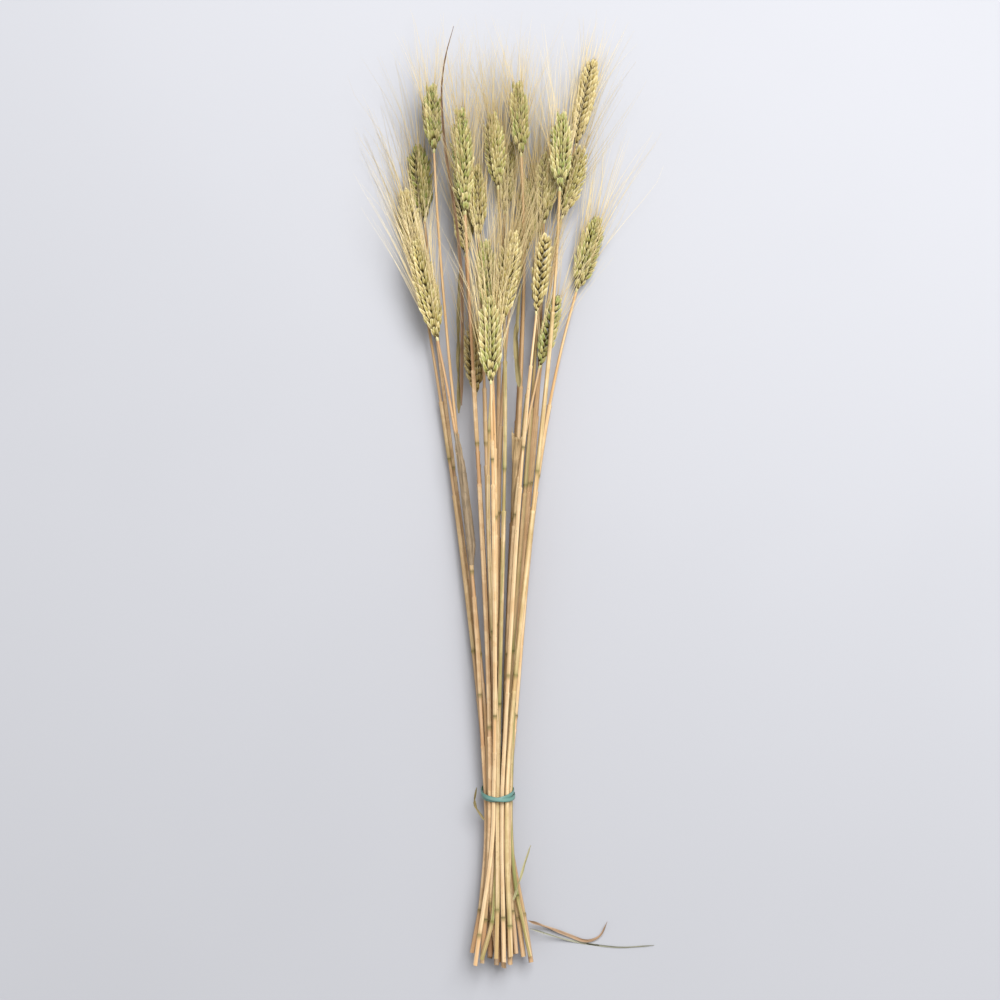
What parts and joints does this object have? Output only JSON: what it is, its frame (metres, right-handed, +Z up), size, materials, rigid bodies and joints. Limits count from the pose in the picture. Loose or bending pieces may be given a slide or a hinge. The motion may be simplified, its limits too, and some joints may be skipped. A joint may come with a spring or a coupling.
{
  "type": "wheat ear bunch",
  "caption": "Dried bunch of long-stemmed bearded wheat ears lying on its side, tied near the cut ends with a wound rubber band.",
  "frame": {"origin": "on the table under the middle of the bunch's bounding box", "axes": "+Y along the bunch from the cut ends to the ears, +Z up from the table, +X to the right seen from above with the ears away"},
  "size_m": [0.2396, 0.7652, 0.079],
  "materials": {
    "straw_stem": "dry straw, satin, pale golden tan with faint lengthwise ribs",
    "ear_husk": "matt dry husk, straw yellow to grey green",
    "dry_leaf": "matt withered leaf, olive brown",
    "band_rubber": "smooth elastic, teal green"
  },
  "bodies": {
    "root": {"ear_01": "ear_husk", "ear_02": "ear_husk", "ear_03": "ear_husk", "ear_04": "ear_husk", "ear_05": "ear_husk", "ear_06": "ear_husk", "ear_07": "ear_husk", "ear_08": "ear_husk", "ear_09": "ear_husk", "ear_10": "ear_husk", "ear_11": "ear_husk", "ear_12": "ear_husk", "ear_13": "ear_husk", "ear_14": "ear_husk", "ear_15": "ear_husk", "ear_16": "ear_husk", "ear_17": "ear_husk", "ear_18": "ear_husk", "ear_19": "ear_husk", "ear_20": "ear_husk", "ear_21": "ear_husk", "ear_22": "ear_husk", "ear_23": "ear_husk", "ear_24": "ear_husk", "leaf_long_brown_blade": "dry_leaf", "leaf_olive_blade_left": "dry_leaf", "leaf_olive_blade_right": "dry_leaf", "leaf_scrap_at_band": "dry_leaf", "leaf_strip_at_cut_end": "dry_leaf", "leaf_trailing_brown": "dry_leaf", "leaf_trailing_grey": "dry_leaf", "rubber_band": "band_rubber", "sheath_left": "dry_leaf", "sheath_right": "dry_leaf", "stem_01": "straw_stem", "stem_02": "straw_stem", "stem_03": "straw_stem", "stem_04": "straw_stem", "stem_05": "straw_stem", "stem_06": "straw_stem", "stem_07": "straw_stem", "stem_08": "straw_stem", "stem_09": "straw_stem", "stem_10": "straw_stem", "stem_11": "straw_stem", "stem_12": "straw_stem", "stem_13": "straw_stem", "stem_14": "straw_stem", "stem_15": "straw_stem", "stem_16": "straw_stem", "stem_17": "straw_stem", "stem_18": "straw_stem", "stem_19": "straw_stem", "stem_20": "straw_stem", "stem_21": "straw_stem", "stem_22": "straw_stem", "stem_23": "straw_stem", "stem_24": "straw_stem"}
  },
  "joints": []
}
